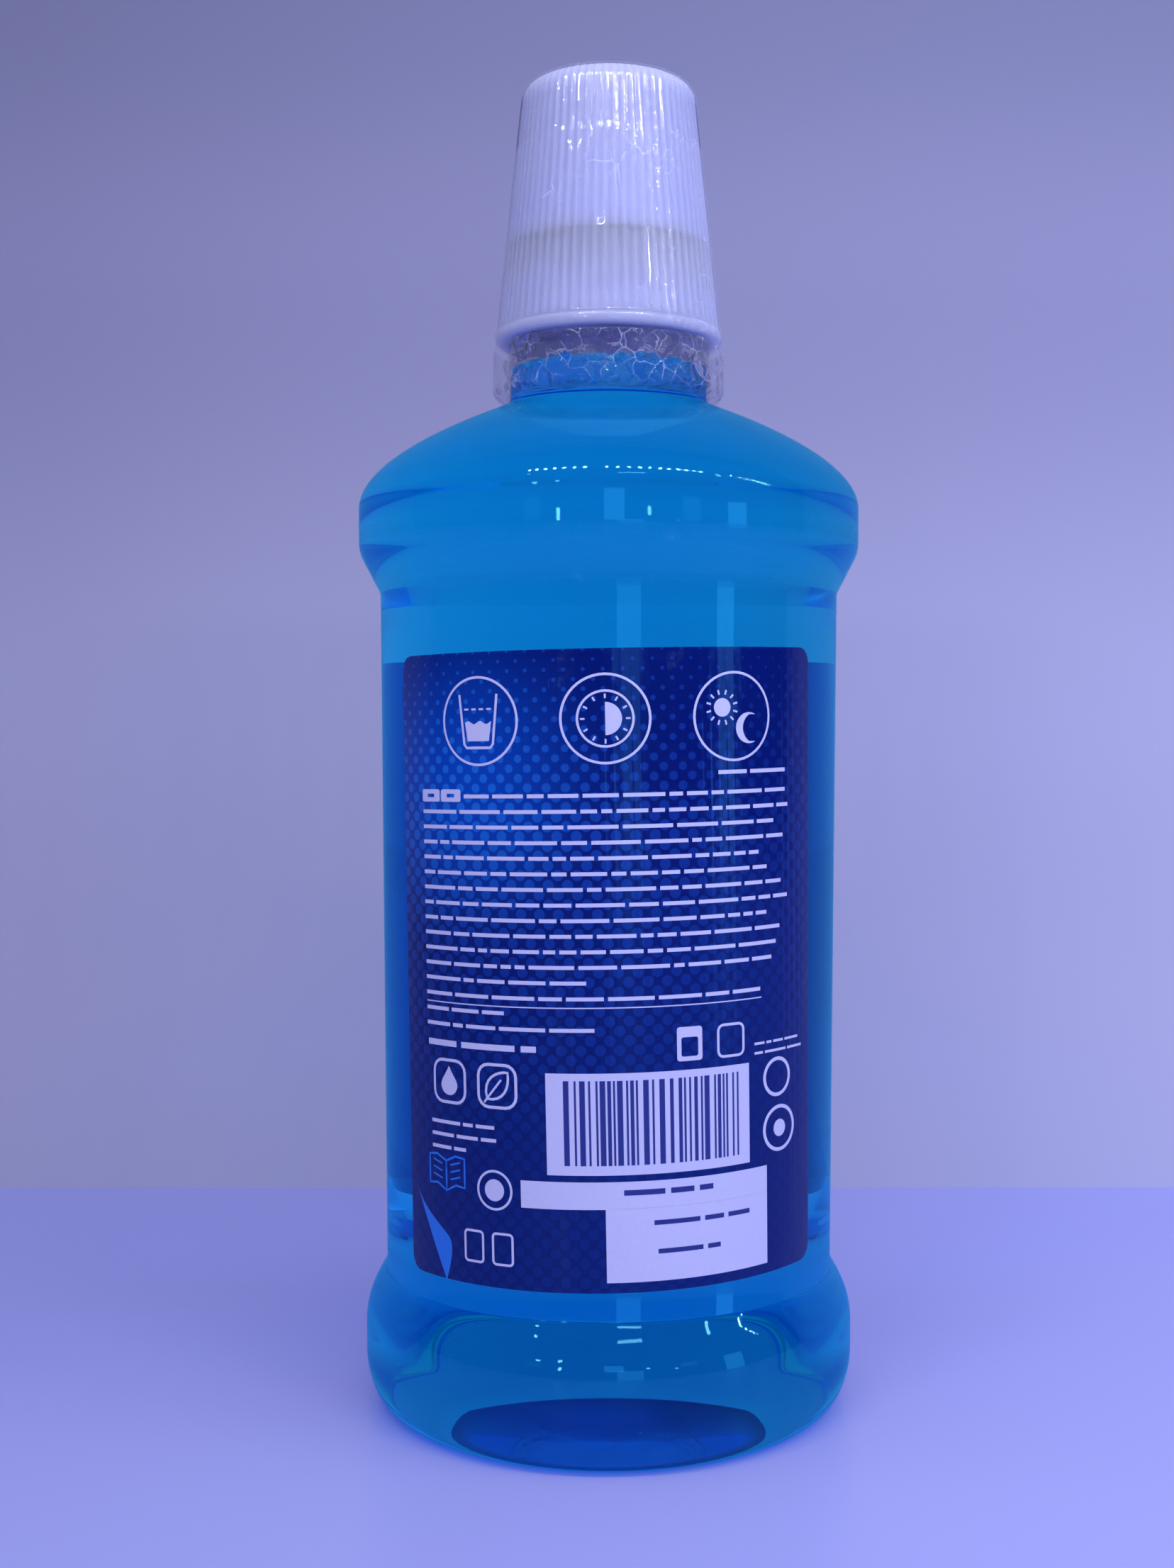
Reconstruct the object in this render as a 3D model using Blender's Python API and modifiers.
"""Mouthwash bottle: a round blown bottle, its blue fill, a ribbed dosing cap, shrink film and labels.

Units are metres and +Z is up. The origin is on the bottle's axis, at the surface that it stands on.
The side with the peel-open back label faces -Y.
"""

import math

import bmesh
import bpy
from mathutils import Matrix, Vector

OBJECT_NAME = "mouthwash_bottle"

# Clearance between neighbours that touch on the real object
REST_GAP = 0.00035
MERGE_DISTANCE = 0.00001
CUT_OVERRUN = 0.002

# Bottle body, radii
PANEL_RADIUS = 0.0334
PANEL_FLARE = 0.00065
SHOULDER_OVERHANG = 0.00315
BASE_OVERHANG = 0.0031
CONTACT_RING_RADIUS = 0.0318
CONTACT_RING_WIDTH = 0.0026
BODY_WALL = 0.00045

# Bottle body, heights of its zones from the floor up
HEEL_HEIGHT = 0.0080
BASE_BAND_HEIGHT = 0.0040
BASE_TAPER_HEIGHT = 0.0088
PANEL_HEIGHT = 0.0993
SHOULDER_TAPER_HEIGHT = 0.0061
SHOULDER_BAND_HEIGHT = 0.0062
SHOULDER_DOME_HEIGHT = 0.0159
NECK_HEIGHT = 0.0102
PUSH_UP_HEIGHT = 0.0060
SHOULDER_EDGE_ROUNDING = 0.0055

# Neck finish: mouth, thread and the collar under the cap
MOUTH_BORE_RADIUS = 0.0116
FINISH_WALL = 0.0013
FINISH_HEIGHT = 0.0114
THREAD_DEPTH = 0.0010
COLLAR_STEP = 0.0007
NECK_WALL = 0.0008
NECK_FLARE_HEIGHT = 0.0030
LIP_ROUNDING = 0.0004

# Screw thread, one start
THREAD_PITCH = 0.0042
NECK_THREAD_RADIUS = 0.0009
CAP_THREAD_RADIUS = 0.00085
THREAD_START_HEIGHT = 0.0019
THREAD_ROOT_SINK = 0.0001
THREAD_GAP = 0.0004
NECK_THREAD_TURNS = 1.55
CAP_THREAD_FIRST_TURN = 0.55
CAP_THREAD_LAST_TURN = 1.75

# Fill
HEADSPACE_HEIGHT = 0.0167
FILL_GAP = 0.00035

# Dosing cap
CAP_HEIGHT = 0.0380
CAP_RIM_LIFT = 0.0012
CAP_RIM_WALL = 0.0016
CAP_RIM_HEIGHT = 0.0018
CAP_RIM_BEAD = 0.00012
CAP_TAPER = 0.0038
CAP_EDGE_ROUNDING = 0.0024
CAP_BORE_GAP = 0.0003
CAP_RIM_GAP = 0.0004
CAP_RIM_BORE_HEIGHT = 0.0014
CUP_TOP_WALL = 0.0016
CUP_SIDE_WALL = 0.0018
CUP_FLOOR_ROUNDING = 0.0016
LEDGE_OVERLAP = 0.0007
RIB_COUNT = 66
RIB_DEPTH = 0.00034
RIB_FOOT_HEIGHT = 0.0004

# Sealing ring
SEAL_THICKNESS = 0.0010
SEAL_OVERHANG = 0.0002

# Shrink film
FILM_THICKNESS = 0.0002
FILM_GAP = 0.0003
FILM_TOP_OVERLAP = 0.0030
FILM_SKIRT = 0.0005
PERFORATION_GAP = 0.0003
BAND_BULGE = 0.0001
BAND_TUCK_HEIGHT = 0.0012
BAND_ROUNDING = 0.0008

# Labels
LABEL_FOOT = 0.0040
LABEL_HEAD = 0.0092
LABEL_CORNER_RADIUS = 0.0022
LABEL_THICKNESS = 0.00012
LABEL_GAP = 0.0004
LABEL_HALF_ANGLE = math.radians(56.25)

# Mesh fineness
BODY_STEPS = 48
LABEL_STEPS = 15
THREAD_STEPS_A_TURN = 32
RIB_COLUMNS = 2

# Heights, worked out from the zones
Z_BASE_BAND = HEEL_HEIGHT
Z_BASE_TAPER = Z_BASE_BAND + BASE_BAND_HEIGHT
Z_PANEL = Z_BASE_TAPER + BASE_TAPER_HEIGHT
Z_PANEL_TOP = Z_PANEL + PANEL_HEIGHT
Z_SHOULDER_BAND = Z_PANEL_TOP + SHOULDER_TAPER_HEIGHT
Z_DOME = Z_SHOULDER_BAND + SHOULDER_BAND_HEIGHT
Z_NECK = Z_DOME + SHOULDER_DOME_HEIGHT
Z_COLLAR = Z_NECK + NECK_HEIGHT
Z_LIP = Z_COLLAR + FINISH_HEIGHT
Z_LEVEL = Z_LIP - HEADSPACE_HEIGHT
Z_RIM = Z_COLLAR - CAP_RIM_LIFT
Z_CAP_TOP = Z_RIM + CAP_HEIGHT
Z_SEAL = Z_LIP + REST_GAP
Z_LEDGE = Z_SEAL + SEAL_THICKNESS + REST_GAP
Z_LABEL = Z_PANEL + LABEL_FOOT
Z_LABEL_TOP = Z_PANEL_TOP - LABEL_HEAD

# Radii, worked out from the sizes that carry them
PANEL_TOP_RADIUS = PANEL_RADIUS + PANEL_FLARE
SHOULDER_RADIUS = PANEL_TOP_RADIUS + SHOULDER_OVERHANG
BASE_RADIUS = PANEL_RADIUS + BASE_OVERHANG
THREAD_ROOT_RADIUS = MOUTH_BORE_RADIUS + FINISH_WALL
NECK_RADIUS = THREAD_ROOT_RADIUS + THREAD_DEPTH + COLLAR_STEP
CAP_BORE_RADIUS = THREAD_ROOT_RADIUS + THREAD_DEPTH + CAP_BORE_GAP
CAP_RIM_BORE_RADIUS = NECK_RADIUS + CAP_RIM_GAP
CAP_RIM_RADIUS = CAP_RIM_BORE_RADIUS + CAP_RIM_WALL
CAP_TOP_RADIUS = CAP_RIM_RADIUS - CAP_TAPER
CUP_FLOOR_RADIUS = CAP_TOP_RADIUS - CUP_SIDE_WALL
CUP_MOUTH_RADIUS = MOUTH_BORE_RADIUS + LEDGE_OVERLAP
Z_CAP_SHOULDER = Z_CAP_TOP - CAP_EDGE_ROUNDING

# Shares that shape the free curves, chosen by hand
DOME_FOOT_SHARES = (1.0, 0.41)
DOME_HEAD_SHARES = (0.415, 0.23)
BASE_TAPER_LOW_SHARES = (1.0, 0.48)
BASE_TAPER_HIGH_SHARES = (0.30, 0.78)
PUSH_UP_EDGE_SHARES = (0.90, 0.62)
PUSH_UP_CROWN_SHARE = 0.45
THREAD_END_SHARES = (0.35, 0.6, 0.85)


def clear_scene():
    """Remove every object, so that the script starts from nothing."""
    for old in list(bpy.data.objects):
        bpy.data.objects.remove(old, do_unlink=True)


def new_collection(name):
    """Make a collection in the scene."""
    made = bpy.data.collections.new(name)
    bpy.context.scene.collection.children.link(made)
    return made


def plastic(name, color, roughness, alpha=1.0):
    """Make a Principled material in one colour."""
    made = bpy.data.materials.new(name)
    made.use_nodes = True
    shader = made.node_tree.nodes["Principled BSDF"]
    shader.inputs["Base Color"].default_value = (*color, 1.0)
    shader.inputs["Roughness"].default_value = roughness
    shader.inputs["Metallic"].default_value = 0.0
    shader.inputs["Alpha"].default_value = alpha
    made.diffuse_color = (*color, alpha)
    return made


def arc(center, radii, start, end, pieces):
    """Points on an elliptic arc in the (radius, height) plane, ends included."""
    points = []
    for i in range(pieces + 1):
        angle = start + (end - start) * i / pieces
        points.append((center[0] + radii[0] * math.cos(angle), center[1] + radii[1] * math.sin(angle)))
    return points


def bezier(first, handle, other_handle, last, pieces):
    """Points on a cubic curve, ends included."""
    points = []
    for i in range(pieces + 1):
        t = i / pieces
        weights = ((1 - t) ** 3, 3 * t * (1 - t) ** 2, 3 * t * t * (1 - t), t ** 3)
        corners = (first, handle, other_handle, last)
        points.append(tuple(sum(w * c[k] for w, c in zip(weights, corners)) for k in (0, 1)))
    return points


def fillet(before, corner, after, radius, pieces):
    """Points of a round corner of the radius between two straight runs."""
    spot = Vector(corner)
    back = (Vector(before) - spot).normalized()
    ahead = (Vector(after) - spot).normalized()
    half = back.angle(ahead) / 2
    reach = radius / math.tan(half)
    center = spot + (back + ahead).normalized() * (radius / math.sin(half))
    start = spot + back * reach - center
    turn = (math.pi - 2 * half) * (1 if back.x * ahead.y - back.y * ahead.x < 0 else -1)
    points = []
    for i in range(pieces + 1):
        angle = turn * i / pieces
        swung = Vector((start.x * math.cos(angle) - start.y * math.sin(angle),
                        start.x * math.sin(angle) + start.y * math.cos(angle)))
        points.append(tuple(center + swung))
    return points


def offset(points, distance):
    """The open outline moved to its left-hand side by the distance, corner by corner."""
    moved = []
    for i, point in enumerate(points):
        sides = []
        for a, b in ((i - 1, i), (i, i + 1)):
            if 0 <= a and b < len(points):
                run = (Vector(points[b]) - Vector(points[a])).normalized()
                sides.append(Vector((-run.y, run.x)))
        middle = sum(sides, Vector((0, 0))).normalized()
        moved.append(tuple(Vector(point) + middle * (distance / middle.dot(sides[0]))))
    return moved


def line_object(name, points, closed, home, height=0.0):
    """A profile drawn as edges in the XZ plane, on an object that sits at the height."""
    mesh = bpy.data.meshes.new(name)
    edges = [(i, i + 1) for i in range(len(points) - 1)]
    if closed:
        edges.append((len(points) - 1, 0))
    mesh.from_pydata([(r, 0, z - height) for r, z in points], edges, [])
    made = bpy.data.objects.new(name, mesh)
    made.location.z = height
    home.objects.link(made)
    return made


def turn(made, steps, angle=math.tau):
    """Turn the object's profile about Z."""
    screw = made.modifiers.new("turn", "SCREW")
    screw.axis = "Z"
    screw.angle = angle
    screw.steps = steps
    screw.render_steps = steps
    screw.use_merge_vertices = True
    screw.merge_threshold = MERGE_DISTANCE
    screw.use_smooth_shade = True
    return made


def turned(name, points, home, material, closed=False, height=0.0, steps=BODY_STEPS):
    """A turned solid: the profile runs down its outer side."""
    made = turn(line_object(name, points, closed, home, height), steps)
    made.data.materials.append(material)
    return made


def guide(made):
    """Mark an object that only cuts or joins."""
    made.hide_render = True
    made.display_type = "WIRE"
    return made


def boolean(target, tool, operation):
    """Cut the target with the tool, or join the tool to it."""
    step = target.modifiers.new(operation.lower(), "BOOLEAN")
    step.operation = operation
    step.solver = "EXACT"
    step.object = tool


def evaluated_mesh(made):
    """The object's mesh with its modifiers applied."""
    graph = bpy.context.evaluated_depsgraph_get()
    return bpy.data.meshes.new_from_object(made.evaluated_get(graph))


def curve_to_mesh_object(curve_object, home):
    """Swap a curve object for a closed mesh object in the same place."""
    bpy.context.view_layer.update()
    mesh = evaluated_mesh(curve_object)
    shape = bmesh.new()
    shape.from_mesh(mesh)
    bmesh.ops.remove_doubles(shape, verts=shape.verts, dist=MERGE_DISTANCE)
    bmesh.ops.recalc_face_normals(shape, faces=shape.faces)
    shape.to_mesh(mesh)
    shape.free()
    name = curve_object.name
    place = curve_object.matrix_world.copy()
    bpy.data.objects.remove(curve_object, do_unlink=True)
    made = bpy.data.objects.new(name, mesh)
    made.matrix_world = place
    home.objects.link(made)
    return made


def helix(name, radius, start_height, first_turn, last_turn, depth, home):
    """A thread ridge: a round bar along a helix, thinner at its two ends."""
    curve = bpy.data.curves.new(name, "CURVE")
    curve.dimensions = "3D"
    curve.bevel_depth = depth
    curve.bevel_resolution = 1
    curve.use_fill_caps = True
    count = round((last_turn - first_turn) * THREAD_STEPS_A_TURN) + 1
    spline = curve.splines.new("POLY")
    spline.points.add(count - 1)
    for i, point in enumerate(spline.points):
        turns = first_turn + (last_turn - first_turn) * i / (count - 1)
        angle = math.tau * turns
        height = start_height + THREAD_PITCH * turns
        point.co = (radius * math.cos(angle), radius * math.sin(angle), height, 1)
        ends = min(i, count - 1 - i)
        point.radius = THREAD_END_SHARES[ends] if ends < len(THREAD_END_SHARES) else 1
    made = bpy.data.objects.new(name, curve)
    home.objects.link(made)
    return guide(curve_to_mesh_object(made, home))


def panel_radius(height):
    """Outer radius of the slightly flared label panel at a height."""
    return PANEL_RADIUS + PANEL_FLARE * (height - Z_PANEL) / PANEL_HEIGHT


def dome():
    """The shoulder's dome, from the neck's foot down to the full-width band."""
    width = SHOULDER_RADIUS - NECK_RADIUS
    head = (NECK_RADIUS + DOME_HEAD_SHARES[0] * width, Z_NECK - DOME_HEAD_SHARES[1] * SHOULDER_DOME_HEIGHT)
    foot = (NECK_RADIUS + DOME_FOOT_SHARES[0] * width, Z_DOME + DOME_FOOT_SHARES[1] * SHOULDER_DOME_HEIGHT)
    return bezier((NECK_RADIUS, Z_NECK), head, foot, (SHOULDER_RADIUS, Z_DOME), 7)


def base_taper():
    """The S-shaped run from the label panel out to the base's full width."""
    high = (PANEL_RADIUS + BASE_TAPER_HIGH_SHARES[0] * BASE_OVERHANG,
            Z_BASE_TAPER + BASE_TAPER_HIGH_SHARES[1] * BASE_TAPER_HEIGHT)
    low = (PANEL_RADIUS + BASE_TAPER_LOW_SHARES[0] * BASE_OVERHANG,
           Z_BASE_TAPER + BASE_TAPER_LOW_SHARES[1] * BASE_TAPER_HEIGHT)
    return bezier((PANEL_RADIUS, Z_PANEL), high, low, (BASE_RADIUS, Z_BASE_TAPER), 5)


def push_up():
    """The raised middle of the bottom, from the contact ring in to the axis."""
    edge = CONTACT_RING_RADIUS - CONTACT_RING_WIDTH
    rise = (edge * PUSH_UP_EDGE_SHARES[0], PUSH_UP_HEIGHT * PUSH_UP_EDGE_SHARES[1])
    crown = (edge * PUSH_UP_CROWN_SHARE, PUSH_UP_HEIGHT)
    return bezier((edge, 0), rise, crown, (0, PUSH_UP_HEIGHT), 6)


def body_outline():
    """The blown body's outer outline, from the neck's foot down to the middle of the bottom."""
    band_foot = (SHOULDER_RADIUS, Z_SHOULDER_BAND)
    step = (PANEL_TOP_RADIUS, Z_PANEL_TOP)
    rounding = min(SHOULDER_EDGE_ROUNDING, SHOULDER_BAND_HEIGHT, SHOULDER_TAPER_HEIGHT)
    points = dome()
    points += fillet(points[-1], band_foot, step, rounding, 3)
    points.append(step)
    points += base_taper()
    heel = (BASE_RADIUS - CONTACT_RING_RADIUS, HEEL_HEIGHT)
    points += arc((CONTACT_RING_RADIUS, Z_BASE_BAND), heel, 0, -math.pi / 2, 5)
    points += push_up()
    return points


def body_inside(gap):
    """The inner side of the body, from the middle of the bottom up to the neck, moved in by a gap."""
    inside = offset(body_outline(), -(BODY_WALL + gap))
    inside[-1] = (0, inside[-1][1])
    neck_radius = NECK_RADIUS - NECK_WALL - gap
    inside = [point for point in inside if point[1] < Z_NECK - NECK_WALL - gap]
    inside.insert(0, (neck_radius, Z_NECK))
    return inside[::-1]


def make_bottle(home, tools, material):
    """The blown shell with its threaded neck finish."""
    flare_top = Z_COLLAR - NECK_WALL
    inner = body_inside(0)
    inner.append((NECK_RADIUS - NECK_WALL, flare_top - NECK_FLARE_HEIGHT))
    inner.append((MOUTH_BORE_RADIUS, flare_top))
    lip_inner = (MOUTH_BORE_RADIUS, Z_LIP)
    lip_outer = (THREAD_ROOT_RADIUS, Z_LIP)
    root = (THREAD_ROOT_RADIUS, Z_COLLAR)
    lip = fillet(inner[-1], lip_inner, lip_outer, LIP_ROUNDING, 2)
    lip += fillet(lip_inner, lip_outer, root, LIP_ROUNDING, 2)
    collar = [root, (NECK_RADIUS, Z_COLLAR)]
    shell = turned("bottle_shell", inner + lip + collar + body_outline(), home, material)
    thread = helix("neck_thread", THREAD_ROOT_RADIUS + THREAD_DEPTH - NECK_THREAD_RADIUS,
                   Z_COLLAR + THREAD_START_HEIGHT, 0, NECK_THREAD_TURNS, NECK_THREAD_RADIUS, tools)
    boolean(shell, thread, "UNION")
    return shell


def make_fill(home, material):
    """The blue mouthwash, up to its level in the neck."""
    side = body_inside(FILL_GAP)[::-1]
    neck_radius = side[0][0]
    points = [(0, Z_LEVEL), (neck_radius, Z_LEVEL)] + side
    return turned("mouthwash", points, home, material)


def cap_radius(height):
    """Outer radius of the cap's tapered wall, over the rib tips, at a height."""
    share = (height - Z_RIM) / (Z_CAP_SHOULDER - Z_RIM)
    return CAP_RIM_RADIUS - CAP_TAPER * share


def ribbed_blank(name, home, material):
    """The cap's outer form as a solid, with its fine upright ribs."""
    rim_top = Z_RIM + CAP_RIM_HEIGHT
    rib_foot = rim_top + RIB_FOOT_HEIGHT
    flat = CAP_TOP_RADIUS - CAP_EDGE_ROUNDING
    edge = (CAP_EDGE_ROUNDING, CAP_EDGE_ROUNDING)
    points = [(0, Z_CAP_TOP)]
    points += arc((flat, Z_CAP_SHOULDER), edge, math.pi / 2, 0, 4)
    points.append((cap_radius(rib_foot), rib_foot))
    points.append((cap_radius(rim_top), rim_top))
    points.append((CAP_RIM_RADIUS + CAP_RIM_BEAD, Z_RIM + CAP_RIM_HEIGHT / 2))
    points.append((CAP_RIM_RADIUS, Z_RIM))
    points.append((0, Z_RIM))
    blank = turned(name, points, home, material, height=Z_RIM, steps=RIB_COUNT * RIB_COLUMNS)
    bpy.context.view_layer.update()
    mesh = evaluated_mesh(blank)
    column = math.tau / (RIB_COUNT * RIB_COLUMNS)
    for vertex in mesh.vertices:
        height = vertex.co.z + Z_RIM
        ribbed = rib_foot - MERGE_DISTANCE < height < Z_CAP_SHOULDER + MERGE_DISTANCE
        valley = round(math.atan2(vertex.co.y, vertex.co.x) / column) % RIB_COLUMNS
        if ribbed and valley:
            radius = math.hypot(vertex.co.x, vertex.co.y)
            vertex.co.x *= (radius - RIB_DEPTH) / radius
            vertex.co.y *= (radius - RIB_DEPTH) / radius
    blank.modifiers.clear()
    blank.data = mesh
    return blank


def make_cap(home, tools, material):
    """The moulded dosing cap: ribs outside, thread, sealing ledge and measuring cup inside."""
    cap = ribbed_blank("dosing_cap", home, material)
    bore_top = Z_RIM + CAP_RIM_BORE_HEIGHT + CAP_RIM_LIFT
    cup_top = Z_CAP_TOP - CUP_TOP_WALL
    flat = CUP_FLOOR_RADIUS - CUP_FLOOR_ROUNDING
    rounding = (CUP_FLOOR_ROUNDING, CUP_FLOOR_ROUNDING)
    points = [(0, cup_top)]
    points += arc((flat, cup_top - CUP_FLOOR_ROUNDING), rounding, math.pi / 2, 0, 3)
    points.append((CUP_MOUTH_RADIUS, Z_LEDGE))
    points.append((CAP_BORE_RADIUS, Z_LEDGE))
    points.append((CAP_BORE_RADIUS, bore_top))
    points.append((CAP_RIM_BORE_RADIUS, bore_top))
    points.append((CAP_RIM_BORE_RADIUS, Z_RIM - CUT_OVERRUN))
    points.append((0, Z_RIM - CUT_OVERRUN))
    bore = guide(turned("cap_bore", points, tools, material))
    boolean(cap, bore, "DIFFERENCE")
    cap_thread_path = CAP_BORE_RADIUS + THREAD_ROOT_SINK
    neck_thread_path = THREAD_ROOT_RADIUS + THREAD_DEPTH - NECK_THREAD_RADIUS
    apart = NECK_THREAD_RADIUS + CAP_THREAD_RADIUS + THREAD_GAP
    drop = math.sqrt(max(apart ** 2 - (cap_thread_path - neck_thread_path) ** 2, 0))
    thread = helix("cap_thread", cap_thread_path, Z_COLLAR + THREAD_START_HEIGHT - drop,
                   CAP_THREAD_FIRST_TURN, CAP_THREAD_LAST_TURN, CAP_THREAD_RADIUS, tools)
    boolean(cap, thread, "UNION")
    return cap


def make_seal(home, material):
    """The soft ring between the bottle's lip and the cap's ledge."""
    inner = MOUTH_BORE_RADIUS + SEAL_OVERHANG
    outer = CAP_BORE_RADIUS - REST_GAP
    top = Z_SEAL + SEAL_THICKNESS
    points = [(inner, top), (outer, top), (outer, Z_SEAL), (inner, Z_SEAL)]
    return turned("sealing_ring", points, home, material, closed=True, height=Z_SEAL)


def film(name, points, home, material, height):
    """A turned skin of film, with its thickness on the outside."""
    skin = turned(name, points, home, material, height=height)
    wall = skin.modifiers.new("thickness", "SOLIDIFY")
    wall.thickness = FILM_THICKNESS
    wall.offset = 1
    wall.use_even_offset = True
    return skin


def make_cap_film(home, material):
    """The film over the cap, down to the perforation just below the cap's rim."""
    top = Z_CAP_TOP + FILM_GAP
    edge = CAP_EDGE_ROUNDING + FILM_GAP
    flat = CAP_TOP_RADIUS - CAP_EDGE_ROUNDING
    points = [(flat - FILM_TOP_OVERLAP, top)]
    points += arc((flat, Z_CAP_SHOULDER), (edge, edge), math.pi / 2, 0, 4)
    low = CAP_RIM_RADIUS + CAP_RIM_BEAD + FILM_GAP
    points.append((low, Z_RIM + CAP_RIM_HEIGHT))
    points.append((low, Z_RIM - FILM_SKIRT))
    return film("shrink_film_cap", points, home, material, Z_RIM)


def make_neck_film(home, material):
    """The film band that stays round the neck below the perforation."""
    top_radius = CAP_RIM_RADIUS + CAP_RIM_BEAD + FILM_GAP
    wide = top_radius + BAND_BULGE
    top = Z_RIM - FILM_SKIRT - PERFORATION_GAP
    foot = Z_NECK + REST_GAP
    knee = foot + BAND_TUCK_HEIGHT
    tuck = (NECK_RADIUS + REST_GAP, foot)
    points = [(top_radius, top)]
    points += fillet((top_radius, top), (wide, (top + knee) / 2), (wide, knee), BAND_ROUNDING, 2)
    points += fillet((wide, top), (wide, knee), tuck, BAND_ROUNDING, 2)
    points.append(tuck)
    return film("shrink_film_neck", points, home, material, Z_NECK)


def label_sheet(name, gap, facing, home, material, hinge=None):
    """A curved label ply round the panel: a turned sector with round corners and a thickness."""
    profile = [(panel_radius(z) + gap, z) for z in (Z_LABEL_TOP, Z_LABEL)]
    sheet = line_object(name, profile, False, home)
    turn(sheet, LABEL_STEPS, 2 * LABEL_HALF_ANGLE)
    bpy.context.view_layer.update()
    mesh = evaluated_mesh(sheet)
    sheet.modifiers.clear()
    mesh.transform(Matrix.Rotation(facing - LABEL_HALF_ANGLE, 4, "Z"))
    shape = bmesh.new()
    shape.from_mesh(mesh)
    corners = [v for v in shape.verts if len(v.link_edges) == 2]
    bmesh.ops.bevel(shape, geom=corners, offset=LABEL_CORNER_RADIUS, segments=4, profile=0.5,
                    affect="VERTICES", clamp_overlap=True)
    shape.to_mesh(mesh)
    shape.free()
    if hinge:
        mesh.transform(Matrix.Translation(-hinge))
        sheet.location = hinge
    sheet.data = mesh
    mesh.materials.append(material)
    wall = sheet.modifiers.new("thickness", "SOLIDIFY")
    wall.thickness = LABEL_THICKNESS
    wall.offset = 1
    return sheet


def leaf_hinge(gap):
    """Middle of the leaf's right-hand edge, seen from the front, and the direction along it."""
    angle = -math.pi / 2 + LABEL_HALF_ANGLE
    out = Vector((math.cos(angle), math.sin(angle), 0))
    foot = out * (panel_radius(Z_LABEL) + gap) + Vector((0, 0, Z_LABEL))
    head = out * (panel_radius(Z_LABEL_TOP) + gap) + Vector((0, 0, Z_LABEL_TOP))
    return (foot + head) / 2, (head - foot).normalized()


def main():
    """Build every piece of the bottle."""
    clear_scene()
    parts = new_collection(OBJECT_NAME)
    tools = new_collection("cutters")
    clear_pet = plastic("clear_pet", (0.55, 0.62, 0.80), 0.08, 0.35)
    blue_liquid = plastic("blue_mouthwash", (0.003, 0.15, 0.62), 0.05)
    white_pp = plastic("white_polypropylene", (0.62, 0.64, 0.90), 0.38)
    soft_tpe = plastic("soft_elastomer", (0.80, 0.80, 0.82), 0.6)
    clear_film = plastic("clear_shrink_film", (0.75, 0.78, 0.95), 0.10, 0.3)
    label_base = plastic("label_base_film", (0.85, 0.86, 0.90), 0.5)
    label_print = plastic("label_printed_film", (0.010, 0.028, 0.20), 0.35)
    make_bottle(parts, tools, clear_pet)
    make_fill(parts, blue_liquid)
    make_cap(parts, tools, white_pp)
    make_seal(parts, soft_tpe)
    make_cap_film(parts, clear_film)
    make_neck_film(parts, clear_film)
    front = -math.pi / 2
    leaf_gap = 2 * LABEL_GAP + LABEL_THICKNESS
    hinge, along = leaf_hinge(leaf_gap + LABEL_THICKNESS / 2)
    label_sheet("back_label_base", LABEL_GAP, front, parts, label_base)
    label_sheet("back_label_leaf", leaf_gap, front, parts, label_print, hinge)
    label_sheet("front_label", LABEL_GAP, -front, parts, label_print)
    print("leaf hinge at", [round(x, 6) for x in hinge], "along", [round(x, 6) for x in along])
    print("rim", round(Z_RIM, 5), "lip", round(Z_LIP, 5), "ledge", round(Z_LEDGE, 5),
          "level", round(Z_LEVEL, 5), "cap top", round(Z_CAP_TOP, 5))
    print("thread lift for each turn", THREAD_PITCH, "m, or", THREAD_PITCH / math.tau, "m a radian")


main()
